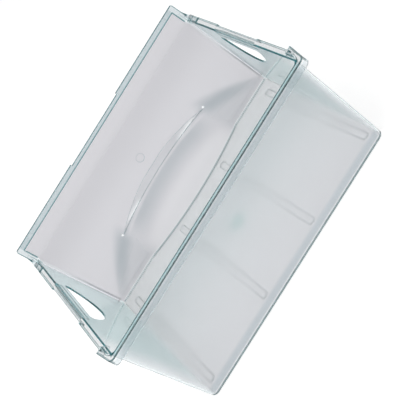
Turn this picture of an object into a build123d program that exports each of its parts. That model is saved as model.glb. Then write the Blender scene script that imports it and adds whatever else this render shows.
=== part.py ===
# Freezer drawer: one clear injection moulding, open at the top, front panel towards -Y.
# Millimetres. The origin is under the middle of the drawer, on the face that it rests on.
import os
from math import cos, radians, sin, tan

from build123d import *

# Driving dimensions of the box
wall = 2.5                      # thickness of the walls, the flanges and the front panel
floor_thickness = 2.5
rim_width = 440.0               # between the inner faces of the side walls, at the rim
floor_width_rear = 418.0        # between the same faces at the floor, by the rear wall
floor_width_front = 431.0       # and by the front panel: the rear has more draft
inner_length = 370.5            # rear wall to front panel, at the top
rear_lean = 5.0                 # how far the rear wall comes in at the floor
front_lean = 4.4                # how far the front panel comes in at the floor
side_rim_height = 170.5         # underside to the top of the side rim
rear_rim_rise = 2.5             # rear rim and corner lugs above the side rim
rear_corner_radius = 9.0        # inside the rear upright corners
front_corner_radius = 7.0       # inside the front upright corners
floor_radius = 1.5              # inside, between floor and walls
floor_edge_radius = 2.0         # outside, under the drawer

# Driving dimensions of the flanges, the rear skirt and the lugs
side_flange = 11.0              # flange beyond the inner face of the side wall
side_lip_drop = 6.0
lip_thickness = 2.2
rear_flange = 8.0               # flange beyond the inner face of the rear wall
rear_skirt_drop = 12.5
lug_length = 39.0               # lug forward of the inner face of the rear wall
lug_step = 5.5                  # stop face that stands out past the side flange
lug_taper = 8.0                 # lead-in: how far the lug narrows towards the rear
lug_corner_radius = 10.0
lug_ledge = 4.8                 # low ledge between the side wall and the raised lug
lug_ledge_radius = 18.0
rim_edge_radius = 1.2           # rounded outer edge of the rear rim and the lugs

# Driving dimensions of the side hand holes and the rounded grips over them
hole_centre = 216.0             # from the inner face of the rear wall
hole_radius = 75.0
hole_bottom = 105.5
hole_top = 150.5
hole_corner_radius = 6.0
grip_start = 133.0              # from the inner face of the rear wall
grip_end = 267.0
grip_drop = 11.0
grip_radius = 5.0

# Driving dimensions of the front panel
panel_height = 207.5
panel_border = 9.0              # clear frame along the top and the sides
panel_border_rise = 1.5         # frame stands proud towards the inside
panel_relief = 0.4              # field inside the frame set back, above the rim
panel_overhang = 5.4            # panel beyond the inner face of the side wall
panel_corner_radius = 3.0
panel_step = 0.8                # panel stands proud of the box that it closes
panel_foot_gap = 10.0           # lower edge of the panel above the rounded floor edge
notch_width = 130.0             # shallow notch in the top edge
notch_depth = 2.6
cheek_length = 32.0             # raised foot of the frame on the side flange
cheek_rise = 2.0
cheek_radius = 16.0
flare_height = 20.0             # over which the frame widens to the flange

# Driving dimensions of the finger recess in the front
recess_crown = 91.8             # top of its arch, on the inside of the panel
recess_arch_radius = 338.0
recess_depth = 17.0             # at the floor
recess_width = 254.0
recess_draft = 3.0              # degrees that its back leans towards the front
recess_ledge_fall = 26.0        # degrees that its ledge falls towards the inside
shoulder_drop = 3.8             # soft shoulder's arch below the arch of the recess
shoulder_foot = 20.0            # height at which the panel starts to swell
shoulder_swell = 4.0            # degrees that it swells towards the inside
shoulder_slope = 6.3            # degrees that the shoulder falls back to the panel

# Driving dimensions of the floor beads and the moulding marks
bead_width = 12.0
bead_rise = 2.0
bead_draft = 40.0
bead_spacing = 120.0            # between the two inner beads
bead_gap_side = 5.5             # outer beads clear of the rounded floor edge
bead_gap_rear = 22.0            # clear of the rear wall at the floor
bead_gap_front = 28.0           # clear of the front panel at the floor
floor_gate_diameter = 12.0
floor_gate_depth = 0.6
panel_gate_diameter = 14.0
panel_gate_height = 115.0
panel_gate_depth = 0.3

# Levels and lines that follow from them
rear_rim_height = side_rim_height + rear_rim_rise
rear_inner = (inner_length + wall - rear_flange) / 2
front_inner = rear_inner - inner_length
rear_edge = rear_inner + rear_flange
rim_half = rim_width / 2
flange_half = rim_half + side_flange
panel_half = rim_half + panel_overhang
lug_half = flange_half + lug_step
lug_front = rear_inner - lug_length
cut_reach = 2 * lug_half        # cutting shapes reach past the part


def share_of_height(z):
    """How far z is up the side wall: 0 at the floor, 1 at the side rim."""
    return (z - floor_thickness) / (side_rim_height - floor_thickness)


def half_width(z, floor_width):
    """Half the width inside at height z, where the floor has the given width."""
    return floor_width / 2 + (rim_half - floor_width / 2) * share_of_height(z)


def rear_face(z):
    """Inner face of the rear wall at height z."""
    return rear_inner - rear_lean * (1 - share_of_height(z))


def front_face(z):
    """Inner face of the front panel at height z."""
    return front_inner + front_lean * (panel_height - z) / (panel_height - floor_thickness)


def panel_plane(z):
    """Plane on the inner face of the front panel at height z, looking into the drawer."""
    return Plane(
        origin=(0, front_face(z), z),
        x_dir=(1, 0, 0),
        z_dir=(0, panel_height - floor_thickness, front_lean),
    )


def box_section(z, grow):
    """Corners of the box at height z, grown outwards from the inner faces."""
    front_half = half_width(z, floor_width_front) + grow
    rear_half = half_width(z, floor_width_rear) + grow
    front = front_face(z) - grow * (1 - panel_step / wall)
    rear = rear_face(z) + grow
    return [(-front_half, front), (front_half, front), (rear_half, rear), (-rear_half, rear)]


def tapered_box(bottom, top, grow, edge_radius):
    """The box between two heights, with rounded upright corners and a rounded floor edge."""
    with BuildPart() as box:
        for z in (bottom, top):
            with BuildSketch(Plane.XY.offset(z)) as section:
                with BuildLine():
                    Polyline(box_section(z, grow), close=True)
                make_face()
                fillet(section.vertices().sort_by(Axis.Y)[2:], rear_corner_radius + grow)
                fillet(section.vertices().sort_by(Axis.Y)[:2], front_corner_radius + grow)
        loft(ruled=True)
        fillet(box.faces().sort_by(Axis.Z)[0].edges(), edge_radius)
    return box.part


interior = tapered_box(floor_thickness, rear_rim_height, 0, floor_radius)
shell = tapered_box(0, side_rim_height, wall, floor_edge_radius)


# Plan of the rear rim and its lugs: stop faces in front, narrowing to the rounded rear corners
with BuildSketch() as rear_plan:
    with BuildLine():
        Polyline(
            (lug_half, lug_front),
            (lug_half - lug_taper, rear_edge),
            (lug_taper - lug_half, rear_edge),
            (-lug_half, lug_front),
            close=True,
        )
    make_face()
    fillet(rear_plan.vertices().group_by(Axis.Y)[-1], lug_corner_radius)

# Plan of the low ledge inside the lugs, level with the side rims
with BuildSketch() as ledge_plan:
    with Locations((0, rear_inner - wall / 2)):
        Rectangle(2 * (rim_half + lug_ledge), cut_reach, align=(Align.CENTER, Align.MAX))
    fillet(ledge_plan.vertices().group_by(Axis.Y)[-1], lug_ledge_radius)

# Rear rim: a flange with raised lugs at its ends, a ledge inside them and a skirt that hangs from its edge
with BuildPart() as rear_rim:
    with BuildSketch(Plane.XY.offset(rear_rim_height - wall)):
        add(rear_plan.sketch)
    extrude(amount=wall)
    fillet(rear_rim.faces().sort_by(Axis.Z)[-1].edges(), rim_edge_radius)
    with BuildSketch(Plane.XY.offset(rear_rim_height - rear_skirt_drop)):
        add(rear_plan.sketch)
        offset(amount=-lip_thickness, mode=Mode.SUBTRACT)
    extrude(amount=rear_skirt_drop - wall)
    with BuildSketch(Plane.XY.offset(side_rim_height - wall)):
        add(ledge_plan.sketch)
        offset(amount=wall)
        add(rear_plan.sketch, mode=Mode.INTERSECT)
    extrude(amount=rear_rim_rise)
    with BuildSketch(Plane.XY.offset(side_rim_height)):
        add(ledge_plan.sketch)
    extrude(amount=cut_reach, mode=Mode.SUBTRACT)

# Side rims: a flat flange from the lugs to the front panel, its outer edge turned down as a lip
flange_front = front_face(side_rim_height) - wall
flange_rear = lug_front + lip_thickness
with BuildPart() as side_rim:
    with BuildSketch(Plane.XZ.offset(-flange_rear)):
        with Locations((rim_half, side_rim_height)):
            Rectangle(side_flange, wall, align=(Align.MIN, Align.MAX))
        with Locations((flange_half, side_rim_height)):
            Rectangle(lip_thickness, side_lip_drop, align=Align.MAX)
    extrude(amount=flange_rear - flange_front)
    mirror(about=Plane.YZ)

# Grips: over each hand hole the rim is a rounded channel, open below
grip_plane = Plane.XZ.offset(grip_start - rear_inner)
grip_bottom = side_rim_height - grip_drop
with BuildPart() as grip:
    with BuildSketch(grip_plane) as channel:
        with Locations((rim_half, grip_bottom)):
            Rectangle(side_flange, grip_drop, align=Align.MIN)
        fillet(channel.vertices().group_by(Axis.Y)[-1], grip_radius)
        with Locations((rim_half + wall, grip_bottom)):
            Rectangle(
                side_flange - wall - lip_thickness,
                grip_drop - wall,
                align=Align.MIN,
                mode=Mode.SUBTRACT,
            )
    extrude(amount=grip_end - grip_start)
    mirror(about=Plane.YZ)

with BuildPart() as grip_room:
    with BuildSketch(grip_plane):
        with Locations((rim_half - wall, grip_bottom)):
            Rectangle(cut_reach, cut_reach, align=Align.MIN)
    extrude(amount=grip_end - grip_start)
    mirror(about=Plane.YZ)

# Front panel: a leaning plate, with a thicker frame along its top and sides and a notch in its top edge
panel_foot = floor_edge_radius + panel_foot_gap
field_top = panel_height - panel_border
with BuildPart() as panel:
    with BuildSketch(Plane.YZ):
        with BuildLine():
            Polyline(
                (front_face(0) + panel_border_rise, 0),
                (front_face(panel_height) + panel_border_rise, panel_height),
                (front_face(panel_height) - wall, panel_height),
                (front_face(0) - wall, 0),
                close=True,
            )
        make_face()
    extrude(amount=panel_half, both=True)
    with BuildSketch(Plane.YZ):
        with BuildLine():
            Polyline(
                (front_face(0) - panel_relief, 0),
                (front_face(field_top) - panel_relief, field_top),
                (front_face(field_top) + cut_reach, field_top),
                (front_face(0) + cut_reach, 0),
                close=True,
            )
        make_face()
    extrude(amount=panel_half - panel_border, both=True, mode=Mode.SUBTRACT)
    with BuildSketch(Plane.XZ) as front_view:
        with Locations((0, panel_foot)):
            Rectangle(2 * panel_half, panel_height - panel_foot, align=(Align.CENTER, Align.MIN))
        fillet(front_view.vertices(), panel_corner_radius)
        with Locations((0, panel_height)):
            Rectangle(notch_width, 2 * notch_depth, mode=Mode.SUBTRACT)
    extrude(amount=cut_reach, both=True, mode=Mode.INTERSECT)

# Cheeks: the frame's feet sweep down on to the side flanges, with a web under them in line with the wall
cheek_face = front_face(side_rim_height) + panel_border_rise
cheek_top = side_rim_height + cheek_rise
bend_y = cheek_face + cheek_radius
bend_z = cheek_top + cheek_radius
with BuildPart() as cheek:
    with BuildSketch(Plane.YZ.offset(rim_half)):
        with BuildLine():
            CenterArc((bend_y, bend_z), cheek_radius, 180, 90)
            Polyline(
                (bend_y, cheek_top),
                (cheek_face + cheek_length, cheek_top),
                (cheek_face + cheek_length, cheek_top - wall),
                (bend_y, cheek_top - wall),
            )
            CenterArc((bend_y, bend_z), cheek_radius + wall, 180, 90)
            Line((cheek_face - wall, bend_z), (cheek_face, bend_z))
        make_face()
    extrude(amount=side_flange)
    with BuildSketch(Plane.YZ.offset(rim_half)):
        with BuildLine():
            CenterArc((bend_y, bend_z), cheek_radius, 180, 90)
            Polyline(
                (bend_y, cheek_top),
                (bend_y, side_rim_height - wall),
                (cheek_face - wall, side_rim_height - wall),
                (cheek_face - wall, bend_z),
                (cheek_face, bend_z),
            )
        make_face()
    extrude(amount=wall)
    with BuildSketch(Plane.XZ):
        with BuildLine():
            flare = TangentArc(
                (panel_half, side_rim_height + flare_height),
                (flange_half, side_rim_height),
                tangent=(0, -1),
            )
            Polyline(
                flare @ 1,
                (flange_half, 0),
                (0, 0),
                (0, panel_height),
                (panel_half, panel_height),
                flare @ 0,
            )
        make_face()
    extrude(amount=cut_reach, both=True, mode=Mode.INTERSECT)
    mirror(about=Plane.YZ)


def recess_solid(grow):
    """Space of the finger recess, grown by a wall for the bulge that it makes on the inside."""
    plan_radius = (recess_width ** 2 / 4 + recess_depth ** 2) / (2 * recess_depth)
    back_y = front_face(floor_thickness) - wall + recess_depth
    lean = radians(recess_draft)
    fall = radians(recess_ledge_fall)
    ledge_plane = Plane(
        origin=(0, front_face(recess_crown), recess_crown - wall),
        x_dir=(1, 0, 0),
        z_dir=(0, cos(fall), -sin(fall)),
    )
    back_plane = Plane(
        origin=(0, back_y, 0),
        x_dir=(1, 0, 0),
        z_dir=(0, -sin(lean), cos(lean)),
    )
    with BuildPart() as recess:
        with BuildSketch(back_plane):
            with Locations((0, -plan_radius)):
                Circle(plan_radius + grow)
        extrude(amount=recess_crown, both=True)
        with BuildSketch(ledge_plane):
            with Locations((0, recess_arch_radius)):
                Circle(recess_arch_radius + grow)
        extrude(amount=cut_reach, both=True, mode=Mode.INTERSECT)
        with BuildSketch(Plane.XY):
            with Locations((0, front_inner - 2 * wall)):
                Rectangle(cut_reach, inner_length, align=(Align.CENTER, Align.MIN))
        extrude(amount=panel_height, both=True, mode=Mode.INTERSECT)
    return recess.part


# Soft shoulders: on each side of the recess the panel swells a little and falls back along the arch
shoulder_crown = recess_crown - shoulder_drop
shoulder_reach = panel_height * tan(radians(shoulder_swell))
shoulder_centre = shoulder_crown - recess_arch_radius
shoulder_spread = shoulder_reach / tan(radians(shoulder_slope))
with BuildPart() as shoulder:
    with BuildSketch(Plane.YZ):
        with BuildLine():
            Polyline(
                (front_face(shoulder_foot), shoulder_foot),
                (front_face(panel_height) + shoulder_reach, panel_height),
                (front_inner - 2 * wall, panel_height),
                (front_inner - 2 * wall, shoulder_foot),
                close=True,
            )
        make_face()
    extrude(amount=panel_half, both=True)
    with Locations(panel_plane(shoulder_centre)):
        Cone(
            recess_arch_radius + shoulder_spread,
            recess_arch_radius - shoulder_spread,
            2 * shoulder_reach,
            mode=Mode.INTERSECT,
        )

pocket = recess_solid(0)
bulge_blank = recess_solid(wall)
with BuildPart() as bulge:
    add(bulge_blank)
    add(shoulder.part)
    add(shell, mode=Mode.INTERSECT)

# Outline of a hand hole: a segment of a circle, flat on top, with rounded corners
hole_y = rear_inner - hole_centre
with BuildSketch(Plane.YZ) as hole:
    with Locations((hole_y, hole_bottom + hole_radius)):
        Circle(hole_radius)
    with Locations((hole_y, hole_top)):
        Rectangle(cut_reach, cut_reach, align=(Align.CENTER, Align.MIN), mode=Mode.SUBTRACT)
    fillet(hole.vertices(), hole_corner_radius)

# Floor beads run from the rear wall towards the front panel
bead_rear = rear_face(floor_thickness) - bead_gap_rear
bead_front = front_face(floor_thickness) + bead_gap_front
bead_middle = (bead_rear + bead_front) / 2
bead_outer = floor_width_rear / 2 - floor_radius - bead_gap_side - bead_width / 2
bead_places = [(side * x, bead_middle) for side in (-1, 1) for x in (bead_spacing / 2, bead_outer)]

with BuildPart() as drawer:
    add(shell)
    add(rear_rim.part)
    add(side_rim.part)
    add(panel.part)
    add(cheek.part)
    add(interior, mode=Mode.SUBTRACT)
    add(grip_room.part, mode=Mode.SUBTRACT)
    add(grip.part)
    add(bulge.part)
    add(pocket, mode=Mode.SUBTRACT)
    add(shoulder.part.moved(Location((0, -wall, 0))), mode=Mode.SUBTRACT)
    extrude(hole.sketch, amount=cut_reach, both=True, mode=Mode.SUBTRACT)
    for level, bead_mode in ((floor_thickness, Mode.ADD), (0, Mode.SUBTRACT)):
        with BuildSketch(Plane.XY.offset(level)):
            with Locations(*bead_places):
                SlotOverall(bead_rear - bead_front, bead_width, rotation=90)
        extrude(amount=bead_rise, taper=bead_draft, mode=bead_mode)
    with BuildSketch(Plane.XY):
        with Locations((0, bead_middle)):
            Circle(floor_gate_diameter / 2)
    extrude(amount=floor_gate_depth, mode=Mode.SUBTRACT)
    with BuildSketch(panel_plane(panel_gate_height)):
        Circle(panel_gate_diameter / 2)
    extrude(amount=-panel_gate_depth, mode=Mode.SUBTRACT)

drawer.part.label = "drawer"
os.makedirs("parts", exist_ok=True)
export_step(drawer.part, "parts/drawer.step")
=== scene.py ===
# %% [markdown]
# # A clear freezer drawer
#
# This lesson dresses one moulded freezer drawer for a studio picture. The drawer is a single
# piece of clear polystyrene, so there is nothing to model here: its shape comes ready from the
# CAD frame. The work is in the finish, in the light that passes through it, and in the camera.

# %% Load the frame
from math import cos, radians, sin

import bpy
from mathutils import Matrix, Quaternion, Vector

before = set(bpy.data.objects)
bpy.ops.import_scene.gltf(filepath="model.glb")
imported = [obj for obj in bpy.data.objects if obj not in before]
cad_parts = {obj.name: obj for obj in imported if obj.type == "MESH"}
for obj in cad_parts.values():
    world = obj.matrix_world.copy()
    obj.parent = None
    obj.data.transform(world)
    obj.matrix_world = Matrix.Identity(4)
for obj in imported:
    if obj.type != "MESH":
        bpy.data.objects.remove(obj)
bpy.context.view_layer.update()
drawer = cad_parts["drawer"]

# %% [markdown]
# ## The camera
#
# The picture looks down into the drawer from behind its rear wall, and it is rolled, so that the
# drawer seems to tumble. A camera is easiest to describe by the point it aims at, its distance and
# three angles. `to_track_quat` gives a level camera that looks along a direction, and a turn about
# its own Z axis then gives the roll.

# %% Camera
aim = Vector((0.0, 0.0093, 0.09))
view_azimuth = radians(177.48)
view_elevation = radians(28.58)
view_roll = radians(-59.05)
view_distance = 1.6147
lens_mm = 101.04
sensor_mm = 36.0

look = Vector((
    sin(view_azimuth) * cos(view_elevation),
    cos(view_azimuth) * cos(view_elevation),
    -sin(view_elevation),
))
level = look.to_track_quat("-Z", "Y")
turn = level @ Quaternion((0.0, 0.0, 1.0), view_roll)

camera_data = bpy.data.cameras.new("camera")
camera_data.lens = lens_mm
camera_data.sensor_width = sensor_mm
camera = bpy.data.objects.new("camera", camera_data)
bpy.context.scene.collection.objects.link(camera)
camera.matrix_world = Matrix.Translation(aim - look * view_distance) @ turn.to_matrix().to_4x4()
bpy.context.scene.camera = camera
print("camera at", tuple(round(v, 4) for v in camera.matrix_world.translation))

# %% [markdown]
# ## Shader maths in plain Python
#
# A material is a graph of nodes. Writing each link by hand hides the idea, so a small class wraps
# one socket: adding or multiplying two wrapped sockets adds a Math node, and `node` adds any other
# kind of node. `rise` and `fall` are soft steps, and two of them multiplied make a soft band. The
# two ends of a step are kept as a pair of numbers, such as the heights between which it climbs.

# %% Socket class


class Socket:
    """One output socket of a node tree, with the operators of ordinary maths."""

    def __init__(self, tree, output=None):
        self.tree = tree
        self.output = output

    def node(self, kind, settings=None, inputs=None, out=0):
        """Add a node, set its settings first, then its inputs, and wrap one of its outputs."""
        made = self.tree.nodes.new(kind)
        for name, value in (settings or {}).items():
            setattr(made, name, value)
        for name, value in (inputs or {}).items():
            if isinstance(value, Socket):
                self.tree.links.new(value.output, made.inputs[name])
            else:
                made.inputs[name].default_value = value
        return Socket(self.tree, made.outputs[out])

    def sibling(self, out):
        """Wrap another output of the node that this socket belongs to."""
        return Socket(self.tree, self.output.node.outputs[out])

    def colour(self, value):
        """A plain colour, on which tints are laid."""
        made = self.node("ShaderNodeRGB")
        made.output.default_value = value
        return made

    def math(self, operation, first, second=0.0):
        return self.node("ShaderNodeMath", {"operation": operation}, {0: first, 1: second})

    def __add__(self, other):
        return self.math("ADD", self, other)

    __radd__ = __add__

    def __sub__(self, other):
        return self.math("SUBTRACT", self, other)

    def __rsub__(self, other):
        return self.math("SUBTRACT", other, self)

    def __mul__(self, other):
        return self.math("MULTIPLY", self, other)

    __rmul__ = __mul__

    def __truediv__(self, other):
        return self.math("DIVIDE", self, other)

    def __rtruediv__(self, other):
        return self.math("DIVIDE", other, self)

    def __abs__(self):
        return self.math("ABSOLUTE", self)

    def larger(self, other):
        return self.math("MAXIMUM", self, other)

    def length(self, other):
        """Length of a step of this much one way and that much the other way."""
        return self.math("SQRT", self * self + other * other)

    def rise(self, low, high):
        """0 below low, 1 above high, and a smooth step between them."""
        settings = {"interpolation_type": "SMOOTHSTEP"}
        inputs = {"Value": self, "From Min": low, "From Max": high, "To Min": 0.0, "To Max": 1.0}
        return self.node("ShaderNodeMapRange", settings, inputs)

    def fall(self, low, high):
        """1 below low, 0 above high, and a smooth step between them."""
        return 1.0 - self.rise(low, high)

    def line(self, half_width):
        """1 where this is 0, falling to 0 at twice the half width on each side."""
        return abs(self).fall(half_width, 2.0 * half_width)

    def tinted(self, amount, colour):
        """Lay a colour over this one where the amount is 1."""
        inputs = {"Factor": amount, 6: self, 7: colour}
        return self.node("ShaderNodeMix", {"data_type": "RGBA"}, inputs, out=2)


def new_material(name):
    """An empty node material, the start of its tree, and its output node."""
    material = bpy.data.materials.new(name)
    material.use_nodes = True
    material.node_tree.nodes.clear()
    output = material.node_tree.nodes.new("ShaderNodeOutputMaterial")
    return material, Socket(material.node_tree), output


print("operators ready")

# %% [markdown]
# ## Places on the moulding
#
# The mould of such a drawer is probably polished for the walls and etched for the front panel and
# the floor, so the finish changes from place to place. Painting a map would need a UV layout. It
# is simpler to read Object coordinates, which are metres in the drawer's own frame, and to measure
# how far a point is from the panel, from the rear wall and from the side walls, all of which lean.

# %% Distances from the walls
panel_foot_y = -0.18355
panel_lean = 0.02146
rear_foot_y = 0.1775
rear_lean = 0.02976
floor_top = 0.0025
rim_top = 0.1705
rim_half_x = 0.22
side_inset = 0.0045
side_draft = 0.018

plastic, start, plastic_output = new_material("clear_polystyrene")
place = start.node("ShaderNodeTexCoord", out="Object")
x = start.node("ShaderNodeSeparateXYZ", None, {0: place})
y = x.sibling(1)
z = x.sibling(2)
across = abs(x)
panel_y = panel_foot_y - panel_lean * z
from_panel = y - panel_y
from_rear = y - (rear_foot_y + rear_lean * (z - floor_top))
foot_inset = side_inset + side_draft * (y - panel_foot_y)
from_side = across - rim_half_x + foot_inset * (rim_top - z) / (rim_top - floor_top)

# %% [markdown]
# ## Etched field and clear frame
#
# The front panel has a matt field inside a clear frame, and the frame's feet, the cheeks, run on
# to the side rims. Each area is a product of soft steps: how far behind the panel a point may lie,
# how far to the side, how low and how high. A mask made so has no seam and needs no map.

# %% Field and frame
fade = 0.0005
bulge_depth = 0.02
field_side = (-0.0015, 0.0)
field_foot_z = (0.004, 0.006)
field_top = 0.1985
step_z = (0.166, 0.172)
step_width = 0.0032
frame_depth = (0.003, 0.004)
frame_foot_z = (0.172, 0.174)
cheek_x = (0.2185, 0.2195)
cheek_end_y = -0.1542
cheek_foot_z = (0.167, 0.168)

beside_field = from_side + z.rise(*step_z) * step_width
on_field = from_panel.fall(bulge_depth - fade, bulge_depth + fade) * beside_field.fall(*field_side)
on_field = on_field * z.fall(field_top - 2.0 * fade, field_top) * z.rise(*field_foot_z)
on_frame = from_panel.fall(*frame_depth) * z.rise(*frame_foot_z) * (1.0 - on_field)
on_cheek = across.rise(*cheek_x) * y.fall(cheek_end_y, cheek_end_y + 2.0 * fade)
on_cheek = on_cheek * z.rise(*cheek_foot_z)
on_frame = on_frame.larger(on_cheek)

# %% [markdown]
# ## Floor and rear wall
#
# The floor is matt as well. Through the rear wall, what lies far behind it looks blurred and what
# lies close to it looks sharp. A little roughness does that, whether the real wall is etched or
# only worn. Above it the rim has a flat top face and a skirt that is turned down on the outside.

# %% Floor, rear wall and rim
floor_z = (0.0046, 0.0052)
floor_front = (0.0, 0.002)
floor_back = (-0.002, -0.001)
wall_inside = (-0.0008, -0.0004)
wall_outside = (0.004, 0.0045)
wall_foot_z = (0.005, 0.007)
wall_top_z = (0.16, 0.161)
rim_inside = (0.0018, 0.0028)
rim_outside = (0.0052, 0.0062)
rim_face_z = (0.1722, 0.1726)
rim_end_x = (0.215, 0.222)
skirt_inside = (0.0045, 0.005)
skirt_foot_z = (0.155, 0.157)
skirt_top_z = (0.168, 0.169)

on_floor = z.fall(*floor_z) * from_panel.rise(*floor_front) * from_rear.fall(*floor_back)
on_rear = from_rear.rise(*wall_inside) * from_rear.fall(*wall_outside)
on_rear = on_rear * z.rise(*wall_foot_z) * z.fall(*wall_top_z)
on_rim = from_rear.rise(*rim_inside) * from_rear.fall(*rim_outside)
on_rim = on_rim * z.rise(*rim_face_z) * across.fall(*rim_end_x)
on_skirt = from_rear.rise(*skirt_inside) * z.rise(*skirt_foot_z) * z.fall(*skirt_top_z)
print("skirt hangs", round((rim_top - skirt_foot_z[0]) * 1000, 1), "mm under the side rim's top")

# %% [markdown]
# ## Sides and corners
#
# The side walls are thin and clear. Where they meet the panel, the edge tint of the next step came
# out as grey strips that the real drawer doesn't show, so these corners get an area of their own,
# which keeps that tint off them.

# %% Sides and corners
side_inside = (-0.001, 0.0)
side_top_z = (0.167, 0.168)
corner_depth = (0.012, 0.016)
corner_side = (-0.008, -0.006)
corner_foot_z = (0.01, 0.014)
corner_top_z = (0.16, 0.166)

on_side = from_side.rise(*side_inside) * z.rise(*wall_foot_z) * z.fall(*side_top_z)
on_corner = from_panel.fall(*corner_depth) * from_side.rise(*corner_side)
on_corner = on_corner * z.rise(*corner_foot_z) * z.fall(*corner_top_z)
print("corners reach", corner_depth[1] * 1000, "mm along the side walls")

# %% [markdown]
# ## Edges
#
# A moulded edge is never sharp. A Bevel node gives the normal that a small rounding would have, and
# where it turns away from the face's own normal there is an edge. Light that enters an edge runs a
# long way inside the plastic and comes out teal. The volume further down gives part of that, and a
# teal tint on the edges stands in for the rest. The shallow floor beads and the fine step on the
# panel show no such line, so they are left out, and so is the wall beside each lug, where the lug's
# own line is drawn.

# %% Edges from a small rounding
edge_radius = 0.0014
edge_samples = 4
edge_turn = (0.03, 0.22)
bead_front = (0.022, 0.024)
step_low_z = (0.168, 0.17)
step_high_z = (0.177, 0.179)
by_lug_y = (0.1425, 0.1435)
by_lug_z = (0.1712, 0.1718)
by_lug_x = (0.2225, 0.2235)

rounded = start.node("ShaderNodeBevel", {"samples": edge_samples}, {"Radius": edge_radius})
facing = start.node("ShaderNodeNewGeometry", out="Normal")
turned = start.node(
    "ShaderNodeVectorMath", {"operation": "DOT_PRODUCT"}, {0: rounded, 1: facing}, out="Value"
)
on_beads = on_floor * from_panel.rise(*bead_front)
on_step = on_field * z.rise(*step_low_z) * z.fall(*step_high_z)
wall_by_lug = y.rise(*by_lug_y) * z.fall(*by_lug_z) * across.fall(*by_lug_x)
edge = (1.0 - turned).rise(*edge_turn) * (1.0 - on_beads) * (1.0 - on_step)
edge = edge * (1.0 - on_corner) * (1.0 - wall_by_lug)
print("edges are drawn", edge_radius * 1000, "mm wide")

# %% [markdown]
# ## Lines on the lugs and the rim
#
# Each rear lug stands on a ledge with a rounded corner, and the rear rim shows a line at both sides
# of its top face. These dark lines are painted shade at the plastic's edges, and the dark bars on
# the lugs' outer faces are a painted reflection of the dark room. They are measured as distances:
# for a rounded corner, the distance from the middle of its circle less the radius.

# %% Lug and rim lines
ledge_x = 0.2248
ledge_y = 0.18125
ledge_radius = 0.018
lug_line_width = 0.0008
lug_line_z = (0.1695, 0.1705)
lug_line_y = (0.143, 0.144)
lug_x = 0.2365
lug_front_y = 0.1435
lug_lead = 0.1702
lug_skin = (-0.0024, -0.0014)
lug_foot_z = (0.163, 0.165)
lug_face_y = (0.1425, 0.143)
rim_line_inside = (0.0012, 0.002)
rim_line_outside = (0.0066, 0.007)
rim_line_start = (-0.002, -0.001)
rim_line_x = (0.222, 0.224)

# Painted shade lines around the lugs' ledges and along the rim.
beside_lug = (across - (ledge_x - ledge_radius)).larger(0.0)
behind_lug = (y - (ledge_y - ledge_radius)).larger(0.0)
lug_outline = beside_lug.length(behind_lug) - ledge_radius
lug_line = lug_outline.line(lug_line_width) * z.rise(*lug_line_z) * y.rise(*lug_line_y)
# Painted reflection: dark bars on the lugs' outer faces.
lug_side = across - (lug_x - lug_lead * (y - lug_front_y))
lug_dark_reflection = lug_side.rise(*lug_skin) * z.rise(*lug_foot_z) * y.rise(*lug_face_y)
rim_line = from_rear.rise(*rim_line_outside).larger(from_rear.fall(*rim_line_inside))
rim_line = rim_line * z.rise(*by_lug_z) * from_rear.rise(*rim_line_start)
rim_line = rim_line * across.fall(*rim_line_x)
lug_line = lug_line.larger(rim_line)
print("lugs are", round(2.0 * lug_x * 1000), "mm apart over their faces")

# %% [markdown]
# ## Lines on the frame and the floor
#
# The frame is a step in the panel, and its inner edge shows as a thin line, broken at the sides. A
# noise makes the dashes. On the floor, a line follows the foot of the panel and of its bulge, which
# is close to a parabola. These dark lines, and those at the frame's outer edge and the cheeks'
# ends, are painted shade at the plastic's edges and creases.

# %% Frame and floor lines
frame_inner_x = 0.2164
frame_outer_x = 0.2254
frame_line_width = 0.0006
frame_edge_width = 0.0007
frame_edge_z = (0.176, 0.178)
frame_side_top_z = (0.198, 0.199)
frame_line_depth = (0.004, 0.005)
dash_scale = 60.0
dash_share = (0.42, 0.5)
cheek_line_width = 0.0008
cheek_line_z = (0.169, 0.17)
bulge_foot_y = -0.1666
bulge_curve = 1.03
crease_width = 0.001
crease_z = (0.0042, 0.005)

dashes = start.node("ShaderNodeTexNoise", None, {"Vector": place, "Scale": dash_scale})
dashes = dashes.rise(*dash_share)
# Painted shade lines on the frame's edges.
frame_top = (z - field_top).line(frame_line_width)
frame_top = frame_top * across.fall(frame_inner_x, frame_inner_x + 2.0 * fade)
frame_side = (across - frame_inner_x).line(frame_line_width)
frame_side = frame_side * z.rise(*frame_foot_z) * z.fall(*frame_side_top_z)
frame_line = frame_top.larger(frame_side * dashes) * from_panel.fall(*frame_line_depth)
frame_edge = (across - frame_outer_x).line(frame_edge_width) * z.rise(*frame_edge_z)
frame_line = frame_line.larger(frame_edge)
cheek_line = (y - cheek_end_y).line(cheek_line_width)
cheek_line = cheek_line * across.rise(*cheek_x) * z.rise(*cheek_line_z)

bulge_foot = bulge_foot_y - x * x * bulge_curve
# Painted shade in the crease at the foot of the panel and its bulge.
painted_crease_shade = (y - bulge_foot.larger(panel_y) - fade).line(crease_width) * z.fall(*crease_z)
print("frame is", round((frame_outer_x - frame_inner_x) * 1000, 1), "mm wide at each side")

# %% [markdown]
# ## Painted shade on the panel
#
# Over the finger recess the panel bulges inwards, and on each side of it the bulge runs out in a
# soft shoulder along one large circle. The real panel is darker there than the CAD shape alone
# renders under this light, so soft tints stand in for the rest of the shading: painted shade along
# the shoulders, under the ledge, on the ledge and towards the top of the field, and painted light
# low on the bulge. A ring distance, measured from that circle, places the bands. The side bands get
# narrower towards the walls, so their ring distance is divided by a reach that shrinks on the way
# out.

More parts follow.
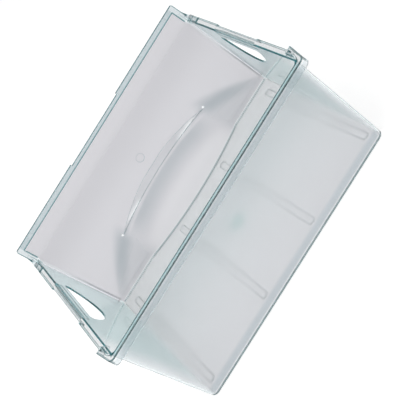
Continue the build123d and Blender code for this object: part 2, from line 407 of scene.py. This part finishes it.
# %% Painted shade along the arch
arch_centre_z = -0.2462
arch_radius = 0.338
band_shift = 0.004
band_reach_middle = 0.0605
band_reach_loss = 0.265
band_low = (-0.024, -0.006)
band_floor = 0.35
band_start_x = (0.105, 0.128)
band_end_x = (0.155, 0.24)
mid_low = (-0.05, -0.016)
mid_high = (-0.0135, -0.0095)
mid_end_x = (0.07, 0.13)
upper_low_z = (0.1, 0.16)
upper_high_z = (0.164, 0.182)
low_ring = (-0.06, -0.035)
low_end_x = (0.09, 0.13)

ring = x.length(z - arch_centre_z) - arch_radius
band_reach = band_reach_middle - across * band_reach_loss
# Painted shade along the shoulders.
painted_side_shade = ((ring + band_shift) / band_reach).fall(0.0, 1.0)
painted_side_shade = painted_side_shade * (band_floor + ring.rise(*band_low) * (1.0 - band_floor))
painted_side_shade = painted_side_shade * across.rise(*band_start_x) * across.fall(*band_end_x)
# Painted shade in a band just under the ledge.
painted_mid_shade = ring.rise(*mid_low) * ring.fall(*mid_high) * across.fall(*mid_end_x)
# Painted shade towards the top of the field.
painted_upper_shade = z.rise(*upper_low_z) * z.fall(*upper_high_z)
# Painted light: the bulge is paler low down, towards the floor.
painted_bulge_light = ring.fall(*low_ring) * across.fall(*low_end_x)
print("arch radius", arch_radius, "m")

# %% [markdown]
# ## The ledge of the recess
#
# A narrow ledge follows the arch and sinks in its middle. Two short stretches of its edge and the
# arch's ends are bright. The lamp of this scene doesn't put highlights there, so they are painted
# highlights: white in the colour and less matt. Over the ledge there is a round moulding mark.

# %% Ledge, painted highlights and marks
arch_end_x = 0.121
arch_end_z = 0.069
arch_end_radius = (0.001, 0.0026)
ledge_sink = 0.0082
ledge_low = (-0.009, -0.007)
ledge_high = (-0.001, 0.0)
ledge_end_x = (0.11, 0.12)
glint_width = 0.0008
glint_start_x = (0.05, 0.065)
glint_end_x = (0.085, 0.108)
glint_amount = 0.7
glint_depth = (0.015, 0.016)
panel_gate_z = 0.115
panel_gate_radius = 0.007
panel_gate_width = 0.0005

# The ledge itself is darkened too, as painted shade.
on_ledge = ring.rise(*ledge_low) * ring.fall(*ledge_high) * across.fall(*ledge_end_x)
ledge_edge = ring + ledge_sink * (1.0 - across * across / arch_end_x ** 2)
# Painted highlights on two stretches of the ledge's edge and at the arch's ends.
glint = ledge_edge.line(glint_width) * across.rise(*glint_start_x) * across.fall(*glint_end_x)
arch_end_glint = (across - arch_end_x).length(z - arch_end_z).fall(*arch_end_radius)
glint_and_polish = (glint * glint_amount).larger(arch_end_glint) * from_panel.fall(*glint_depth)
panel_gate = (x.length(z - panel_gate_z) - panel_gate_radius).line(panel_gate_width)
print("arch ends", round(2.0 * arch_end_x * 1000), "mm apart")

# %% [markdown]
# ## Colour of the panel
#
# Clear plastic has no paint: its base colour is the share of light that each face lets through. The
# etched field is a little lilac. Near its top and in the bands it is darker, which is painted
# shade;
# low on the bulge it is paler, which is painted light; and the painted highlights are white.
# One Mix node lays each tint over the last.

# %% Panel tints
field_tint = (0.73, 0.71, 0.74, 1.0)
upper_shade_tint = (0.67, 0.65, 0.68, 1.0)
bulge_light_tint = (0.82, 0.80, 0.825, 1.0)
shade_and_mark_tint = (0.49, 0.515, 0.545, 1.0)
painted_highlight_tint = (1.0, 1.0, 1.0, 1.0)
frame_tint = (0.55, 0.60, 0.625, 1.0)
frame_side_tint = (0.72, 0.745, 0.765, 1.0)
frame_side_x = (0.216, 0.218)
mid_amount = 0.72
ledge_amount = 0.27
panel_gate_amount = 0.4

bands = painted_side_shade + painted_mid_shade * mid_amount + on_ledge * ledge_amount
field = start.colour(field_tint).tinted(painted_upper_shade, upper_shade_tint).tinted(painted_bulge_light, bulge_light_tint)
field = field.tinted(bands, shade_and_mark_tint).tinted(panel_gate * panel_gate_amount, shade_and_mark_tint)
field = field.tinted(glint_and_polish, painted_highlight_tint)
frame_colour = start.colour(frame_tint).tinted(across.rise(*frame_side_x), frame_side_tint)
print("field lets", round(100 * field_tint[1]), "percent of green light through")

# %% [markdown]
# ## Colour of the floor and the walls
#
# The walls let nearly all light through. Near the middle of the floor, probably where the plastic
# was injected, it looks a little teal. The rear wall is darker at its foot and under its rim: this
# is painted shade.

# %% Floor and wall tints
clear_tint = (0.925, 0.92, 0.93, 1.0)
side_tint = (0.60, 0.715, 0.72, 1.0)
side_fade_y = (0.08, 0.16)
corner_tint = (1.0, 0.98, 1.0, 1.0)
floor_front_tint = (0.965, 0.955, 0.97, 1.0)
floor_rear_tint = (0.97, 0.94, 0.96, 1.0)
floor_fade_y = (-0.02, 0.13)
floor_gate_tint = (0.72, 0.86, 0.85, 1.0)
floor_gate_y = -0.018
floor_gate_radius = (0.003, 0.024)
foot_shade_tint = (0.76, 0.80, 0.83, 1.0)
foot_z = (0.012, 0.02)
under_rim_shade_tint = (0.86, 0.875, 0.885, 1.0)
upper_wall_z = (0.09, 0.155)
skirt_tint = (0.79, 0.82, 0.84, 1.0)

floor_gate = x.length(y - floor_gate_y).fall(*floor_gate_radius)
floor_colour = start.colour(floor_front_tint).tinted(y.rise(*floor_fade_y), floor_rear_tint)
floor_colour = floor_colour.tinted(floor_gate, floor_gate_tint)
tint = start.colour(clear_tint).tinted(on_side * y.fall(*side_fade_y), side_tint)
tint = tint.tinted(on_corner, corner_tint)
# Painted shade at the foot of the rear wall and under its rim.
tint = tint.tinted(on_rear * z.fall(*foot_z), foot_shade_tint)
tint = tint.tinted(on_rear * z.rise(*upper_wall_z), under_rim_shade_tint)
tint = tint.tinted(on_skirt, skirt_tint).tinted(on_field, field)
tint = tint.tinted(on_frame, frame_colour).tinted(on_floor, floor_colour)
print("floor is teal within", floor_gate_radius[1] * 1000, "mm of its middle mark")

# %% [markdown]
# ## Colour of the lines
#
# The edge lines come last, so that they lie over every other tint. They are painted shade, and on
# the lugs' outer faces a painted reflection. They are not quite full, which keeps some of the
# colour under them.

# %% Line tints
edge_shade_tint = (0.05, 0.19, 0.21, 1.0)
lug_reflection_tint = (0.03, 0.10, 0.11, 1.0)
crease_shade_tint = (0.16, 0.23, 0.25, 1.0)
edge_amount = 0.85
line_amount = 0.9
crease_amount = 0.8

lines = (edge * edge_amount).larger(frame_line * line_amount)
lines = lines.larger(cheek_line * line_amount).larger(lug_line * line_amount)
tint = tint.tinted(lines, edge_shade_tint).tinted(lug_dark_reflection * line_amount, lug_reflection_tint)
tint = tint.tinted(painted_crease_shade * crease_amount, crease_shade_tint)
print("colour takes", len(start.tree.nodes), "nodes so far")

# %% [markdown]
# ## Gloss
#
# Roughness says how matt a face is. The etched field and the floor scatter light, and the polished
# walls hardly do. Each area adds its own share to the roughness of polished plastic.

# %% Roughness
polished_roughness = 0.03
field_matt = 0.37
floor_matt = 0.27
rear_matt = 0.11
skirt_matt = 0.1
cheek_matt = 0.1
corner_matt = 0.2

matt = on_field * field_matt * (1.0 - glint_and_polish) + on_floor * floor_matt + on_rear * rear_matt
matt = matt + on_skirt * skirt_matt + on_cheek * cheek_matt
roughness = polished_roughness + matt + on_corner * corner_matt * (1.0 - on_field)
print("field roughness", polished_roughness + field_matt)

# %% [markdown]
# ## Grain
#
# A fine noise, lifted by a Bump node, gives the etched faces their grain. The floor beads look
# softer on the real drawer than the CAD beads render, so the normal there is turned a little
# towards upright, or towards straight down on the underside.

# %% Grain and soft beads
grain_scale = 900.0
grain_detail = 2.0
grain_strength = 0.15
grain_height = 0.0002
bead_softness = 0.22

grain = start.node(
    "ShaderNodeTexNoise",
    None,
    {"Vector": place, "Scale": grain_scale, "Detail": grain_detail},
)
facing_up = start.node("ShaderNodeSeparateXYZ", None, {0: facing}, out=2)
upright = start.node("ShaderNodeCombineXYZ", None, {2: start.math("SIGN", facing_up)})
softened = start.node(
    "ShaderNodeMix",
    {"data_type": "VECTOR"},
    {"Factor": on_beads * bead_softness, 4: rounded, 5: upright},
    out=1,
)
softened = start.node("ShaderNodeVectorMath", {"operation": "NORMALIZE"}, {0: softened})
bump = start.node(
    "ShaderNodeBump",
    None,
    {
        "Strength": grain_strength,
        "Distance": grain_height,
        "Height": grain * (on_field + on_floor),
        "Normal": softened,
    },
)
print("grain of about", round(1000 / grain_scale, 1), "mm")

# %% [markdown]
# ## Clear polystyrene
#
# Polystyrene bends light more than window glass does, and a long way through it turns light to
# teal. A Principled shader with full transmission bends the light, and a Volume Absorption shader
# takes red out along the way, so thin walls stay clear and thick edges go dark. Light that enters
# the flat top of the rear rim runs down inside the wall, and the rim comes out dark, while the real
# one looks pale. A diffuse shader mixed in there is a stand-in that keeps it pale.

# %% Surface and volume
plastic_ior = 1.59
absorbed_colour = (0.35, 0.76, 0.785, 1.0)
absorbed_density = 22.0
rim_tint = (0.66, 0.88, 0.91, 1.0)
rim_paleness = 0.8

surface = start.node(
    "ShaderNodeBsdfPrincipled",
    None,
    {
        "Base Color": tint,
        "Roughness": roughness,
        "IOR": plastic_ior,
        "Transmission Weight": 1.0,
        "Normal": bump,
    },
)
inside = start.node(
    "ShaderNodeVolumeAbsorption", None, {"Color": absorbed_colour, "Density": absorbed_density}
)
pale = start.node("ShaderNodeBsdfDiffuse", None, {"Color": rim_tint})
surface = start.node("ShaderNodeMixShader", None, {0: on_rim * rim_paleness, 1: surface, 2: pale})
start.tree.links.new(surface.output, plastic_output.inputs["Surface"])
start.tree.links.new(inside.output, plastic_output.inputs["Volume"])

drawer.data.materials.clear()
drawer.data.materials.append(plastic)
print("finish:", drawer.data.materials[0].name, "with", len(start.tree.nodes), "nodes")

# %% [markdown]
# ## The studio floor
#
# The drawer stands on a white floor. The floor is a plain diffuse surface, so it keeps the soft
# shadow, and it glows a little for the rays of the camera, of reflections and of clear plastic, so
# that it reads as white without more light on the drawer. A faint noise is the fibre of the paper.

# %% Floor
floor_size = 30.0
floor_level = -0.0002
floor_glow = 0.84
paper_grey = (0.40, 0.40, 0.40, 1.0)
fibre_grey = (0.42, 0.42, 0.42, 1.0)
fibre_scale = 400.0
fibre_share = (0.3, 0.7)

bpy.ops.object.select_all(action="DESELECT")
bpy.ops.mesh.primitive_plane_add(size=floor_size, location=(0.0, 0.0, floor_level))
floor = bpy.context.object
floor.name = "floor"

paper, sheet, paper_output = new_material("white_paper")
path = sheet.node("ShaderNodeLightPath", out="Is Camera Ray")
seen = path.larger(path.sibling("Is Glossy Ray")).larger(path.sibling("Is Transmission Ray"))
spot = sheet.node("ShaderNodeTexCoord", out="Object")
fibre = sheet.node("ShaderNodeTexNoise", None, {"Vector": spot, "Scale": fibre_scale})
paper_colour = sheet.colour(paper_grey).tinted(fibre.rise(*fibre_share), fibre_grey)
paint = sheet.node("ShaderNodeBsdfDiffuse", None, {"Color": paper_colour})
glow = sheet.node("ShaderNodeEmission", None, {"Strength": seen * floor_glow})
both = sheet.node("ShaderNodeAddShader", None, {0: paint, 1: glow})
sheet.tree.links.new(both.output, paper_output.inputs["Surface"])

floor.data.materials.append(paper)
print("floor:", floor_size, "m square, glow", floor_glow)

# %% [markdown]
# ## The room
#
# Clear plastic shows what is around it. A room that is white on all sides would leave the drawer
# without outlines, so the room is bright near the horizon and overhead, where the paper and the
# lamps are, and dark in a ring between them. The plastic's edges pick up that ring.

# %% World
ring_light = 0.12
horizon_light = 0.88
horizon_height = (0.1, 0.22)
overhead_light = 0.6
overhead_height = (0.7, 0.95)
white = (1.0, 1.0, 1.0, 1.0)

world = bpy.data.worlds.new("studio")
world.use_nodes = True
bpy.context.scene.world = world
world.node_tree.nodes.clear()
sky = Socket(world.node_tree)
direction = sky.node("ShaderNodeTexCoord", out="Generated")
height = sky.node("ShaderNodeSeparateXYZ", None, {0: direction}, out=2)
light = ring_light + height.fall(*horizon_height) * horizon_light
light = light + height.rise(*overhead_height) * overhead_light
room = sky.node("ShaderNodeBackground", None, {"Color": white, "Strength": light})
world_output = world.node_tree.nodes.new("ShaderNodeOutputWorld")
world.node_tree.links.new(room.output, world_output.inputs["Surface"])
print("room light from", ring_light, "to", ring_light + horizon_light)

# %% [markdown]
# ## The lamp
#
# One large soft box over the drawer's rear corner gives the soft shadow and the lights on the rim.
# A large lamp close by is softer than a small one far away.

# %% Soft box
box_size = 1.2
box_watts = 12.0
box_place = Vector((0.3, 0.3, 1.6))

lamp_data = bpy.data.lights.new("soft_box", "AREA")
lamp_data.shape = "SQUARE"
lamp_data.size = box_size
lamp_data.energy = box_watts
lamp = bpy.data.objects.new("soft_box", lamp_data)
bpy.context.scene.collection.objects.link(lamp)
lamp.location = box_place
lamp.rotation_euler = (aim - box_place).to_track_quat("-Z", "Y").to_euler()
print("soft box", round((aim - box_place).length, 2), "m from the drawer")

# %% [markdown]
# ## Picture settings
#
# The Standard view shows colours as they are written. Light that is caught inside an edge bounces
# many times before it leaves, and each of those bounces counts as a reflection, so the limits are
# high. With low limits the edges would come out black and not teal.

# %% View and bounces
bounce_limit = 128

bpy.context.scene.view_settings.view_transform = "Standard"
bpy.context.scene.cycles.max_bounces = bounce_limit
bpy.context.scene.cycles.transmission_bounces = bounce_limit
bpy.context.scene.cycles.glossy_bounces = bounce_limit
print("light may bounce", bounce_limit, "times")
